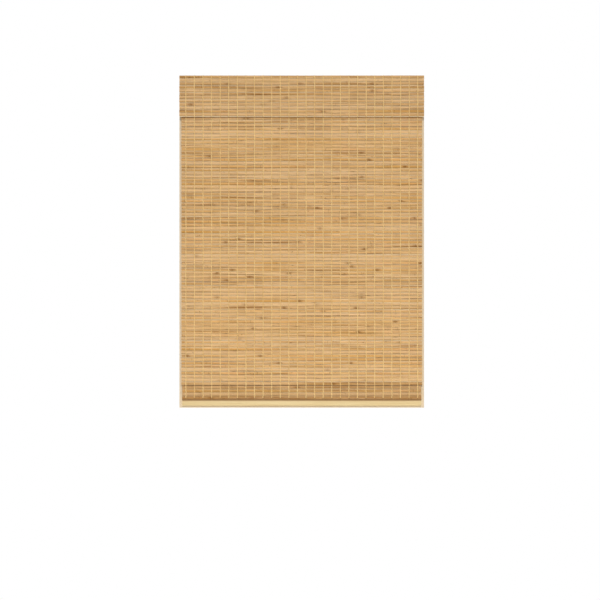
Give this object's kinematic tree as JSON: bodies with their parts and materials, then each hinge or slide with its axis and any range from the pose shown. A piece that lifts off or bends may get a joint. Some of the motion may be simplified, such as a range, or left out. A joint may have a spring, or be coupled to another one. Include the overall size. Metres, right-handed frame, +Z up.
{
  "type": "bamboo roman shade",
  "caption": "Cordless woven bamboo roman shade with valance, cream liner, wooden bottom rail and a spring-driven lift in its headrail, shown fully lowered.",
  "frame": {"origin": "centre of the four bracket screw holes, on the brackets' top face", "axes": "+Z up, -Y towards the room, +X to the right as seen from the room"},
  "size_m": [0.882, 0.0594, 1.1988],
  "materials": {
    "bamboo": "split bamboo, satin, lightly lacquered",
    "warp_thread": "twisted cotton thread",
    "liner_cloth": "plain woven polyester, cream",
    "rail_wood": "pale wood, clear satin lacquer",
    "batten_wood": "planed softwood",
    "headrail_paint": "white powder coat",
    "bracket_steel": "zinc plated",
    "white_plastic": "moulded, matt",
    "drum_plastic": "moulded acetal",
    "spring_steel": "blued strip",
    "pin_steel": "drawn wire",
    "lift_cord": "braided polyester",
    "hook_tape": "hook-and-loop tape",
    "clear_ring": "moulded"
  },
  "bodies": {
    "headrail": {"headrail": "headrail_paint", "end_cap_left": "white_plastic", "end_cap_right": "white_plastic", "mounting_bracket_left": "bracket_steel", "mounting_bracket_right": "bracket_steel", "hook_tape": "hook_tape", "head_batten": "batten_wood", "valance_batten": "batten_wood", "valance_slats": "bamboo", "valance_reeds": "bamboo", "valance_warp_threads": "warp_thread", "mat_slats": "bamboo", "mat_reeds": "bamboo", "mat_warp_threads": "warp_thread", "liner": "liner_cloth", "pulley_pins": "pin_steel", "motor_base": "white_plastic", "motor_cover": "white_plastic", "motor_cover_screws": "pin_steel", "power_spring": "spring_steel", "lift_cord_left": "lift_cord", "cord_guide_left": "white_plastic", "lift_cord_centre": "lift_cord", "cord_guide_centre": "white_plastic", "lift_cord_right": "lift_cord", "cord_guide_right": "white_plastic"},
    "bottom_rail": {"bottom_rail": "rail_wood", "hem_slats": "bamboo", "hem_reeds": "bamboo", "hem_warp_threads": "warp_thread", "cord_anchors": "white_plastic"},
    "cord_spool_left": {"cord_spool_left": "drum_plastic"},
    "spring_storage_drum": {"spring_storage_drum": "drum_plastic"},
    "spring_output_drum": {"spring_output_drum": "drum_plastic"},
    "cord_spool_right": {"cord_spool_right": "drum_plastic"},
    "ring_row_1": {"ring_row_1": "clear_ring"},
    "ring_row_2": {"ring_row_2": "clear_ring"},
    "ring_row_3": {"ring_row_3": "clear_ring"},
    "ring_row_4": {"ring_row_4": "clear_ring"},
    "ring_row_5": {"ring_row_5": "clear_ring"},
    "cord_pulley_left": {"cord_pulley_left": "drum_plastic"},
    "cord_pulley_centre": {"cord_pulley_centre": "drum_plastic"},
    "cord_pulley_right": {"cord_pulley_right": "drum_plastic"}
  },
  "joints": [
    {"name": "lift", "type": "slide", "parent": "headrail", "child": "bottom_rail", "axis": [0, 0, 1], "range_m": [0, 0.76], "deforming": ["mat_slats", "mat_reeds", "mat_warp_threads", "liner", "lift_cord_left", "lift_cord_centre", "lift_cord_right"]},
    {"name": "fold_1", "type": "slide", "parent": "headrail", "child": "ring_row_1", "axis": [0, 0, 1], "range_m": [0, 0.1287]},
    {"name": "fold_2", "type": "slide", "parent": "headrail", "child": "ring_row_2", "axis": [0, 0, 1], "range_m": [0, 0.2553]},
    {"name": "fold_3", "type": "slide", "parent": "headrail", "child": "ring_row_3", "axis": [0, 0, 1], "range_m": [0, 0.382]},
    {"name": "fold_4", "type": "slide", "parent": "headrail", "child": "ring_row_4", "axis": [0, 0, 1], "range_m": [0, 0.5087]},
    {"name": "fold_5", "type": "slide", "parent": "headrail", "child": "ring_row_5", "axis": [0, 0, 1], "range_m": [0, 0.6353]},
    {"name": "cord_spool_left_turn", "type": "hinge", "parent": "headrail", "child": "cord_spool_left", "pos_m": [0.12, 0, -0.015], "axis": [0, 0, 1], "range_deg": [0, 3503.6]},
    {"name": "spring_storage_drum_turn", "type": "hinge", "parent": "headrail", "child": "spring_storage_drum", "pos_m": [0.15, 0, -0.015], "axis": [0, 0, 1], "range_deg": [-3503.6, 0]},
    {"name": "spring_output_drum_turn", "type": "hinge", "parent": "headrail", "child": "spring_output_drum", "pos_m": [0.18, 0, -0.015], "axis": [0, 0, 1], "range_deg": [0, 3503.6]},
    {"name": "cord_spool_right_turn", "type": "hinge", "parent": "headrail", "child": "cord_spool_right", "pos_m": [0.21, 0, -0.015], "axis": [0, 0, 1], "range_deg": [-3503.6, 0]},
    {"name": "cord_pulley_left_turn", "type": "hinge", "parent": "headrail", "child": "cord_pulley_left", "pos_m": [-0.325, -0.0125, -0.0126], "axis": [0, 1, 0], "range_deg": [0, 8729]},
    {"name": "cord_pulley_centre_turn", "type": "hinge", "parent": "headrail", "child": "cord_pulley_centre", "pos_m": [0.005, -0.0125, -0.0172], "axis": [0, 1, 0], "range_deg": [0, 8729]},
    {"name": "cord_pulley_right_turn", "type": "hinge", "parent": "headrail", "child": "cord_pulley_right", "pos_m": [0.325, -0.0125, -0.0126], "axis": [0, 1, 0], "range_deg": [-8729, 0]}
  ],
  "couplings": [
    {"joint": "fold_1", "follows": "lift", "ratio": 0.16667},
    {"joint": "fold_2", "follows": "lift", "ratio": 0.33333},
    {"joint": "fold_3", "follows": "lift", "ratio": 0.5},
    {"joint": "fold_4", "follows": "lift", "ratio": 0.66667},
    {"joint": "fold_5", "follows": "lift", "ratio": 0.83333},
    {"joint": "cord_spool_left_turn", "follows": "lift", "rad_per_m": 80},
    {"joint": "spring_storage_drum_turn", "follows": "lift", "rad_per_m": -80},
    {"joint": "spring_output_drum_turn", "follows": "lift", "rad_per_m": 80},
    {"joint": "cord_spool_right_turn", "follows": "lift", "rad_per_m": -80},
    {"joint": "cord_pulley_left_turn", "follows": "lift", "rad_per_m": 200},
    {"joint": "cord_pulley_centre_turn", "follows": "lift", "rad_per_m": 200},
    {"joint": "cord_pulley_right_turn", "follows": "lift", "rad_per_m": -200}
  ]
}
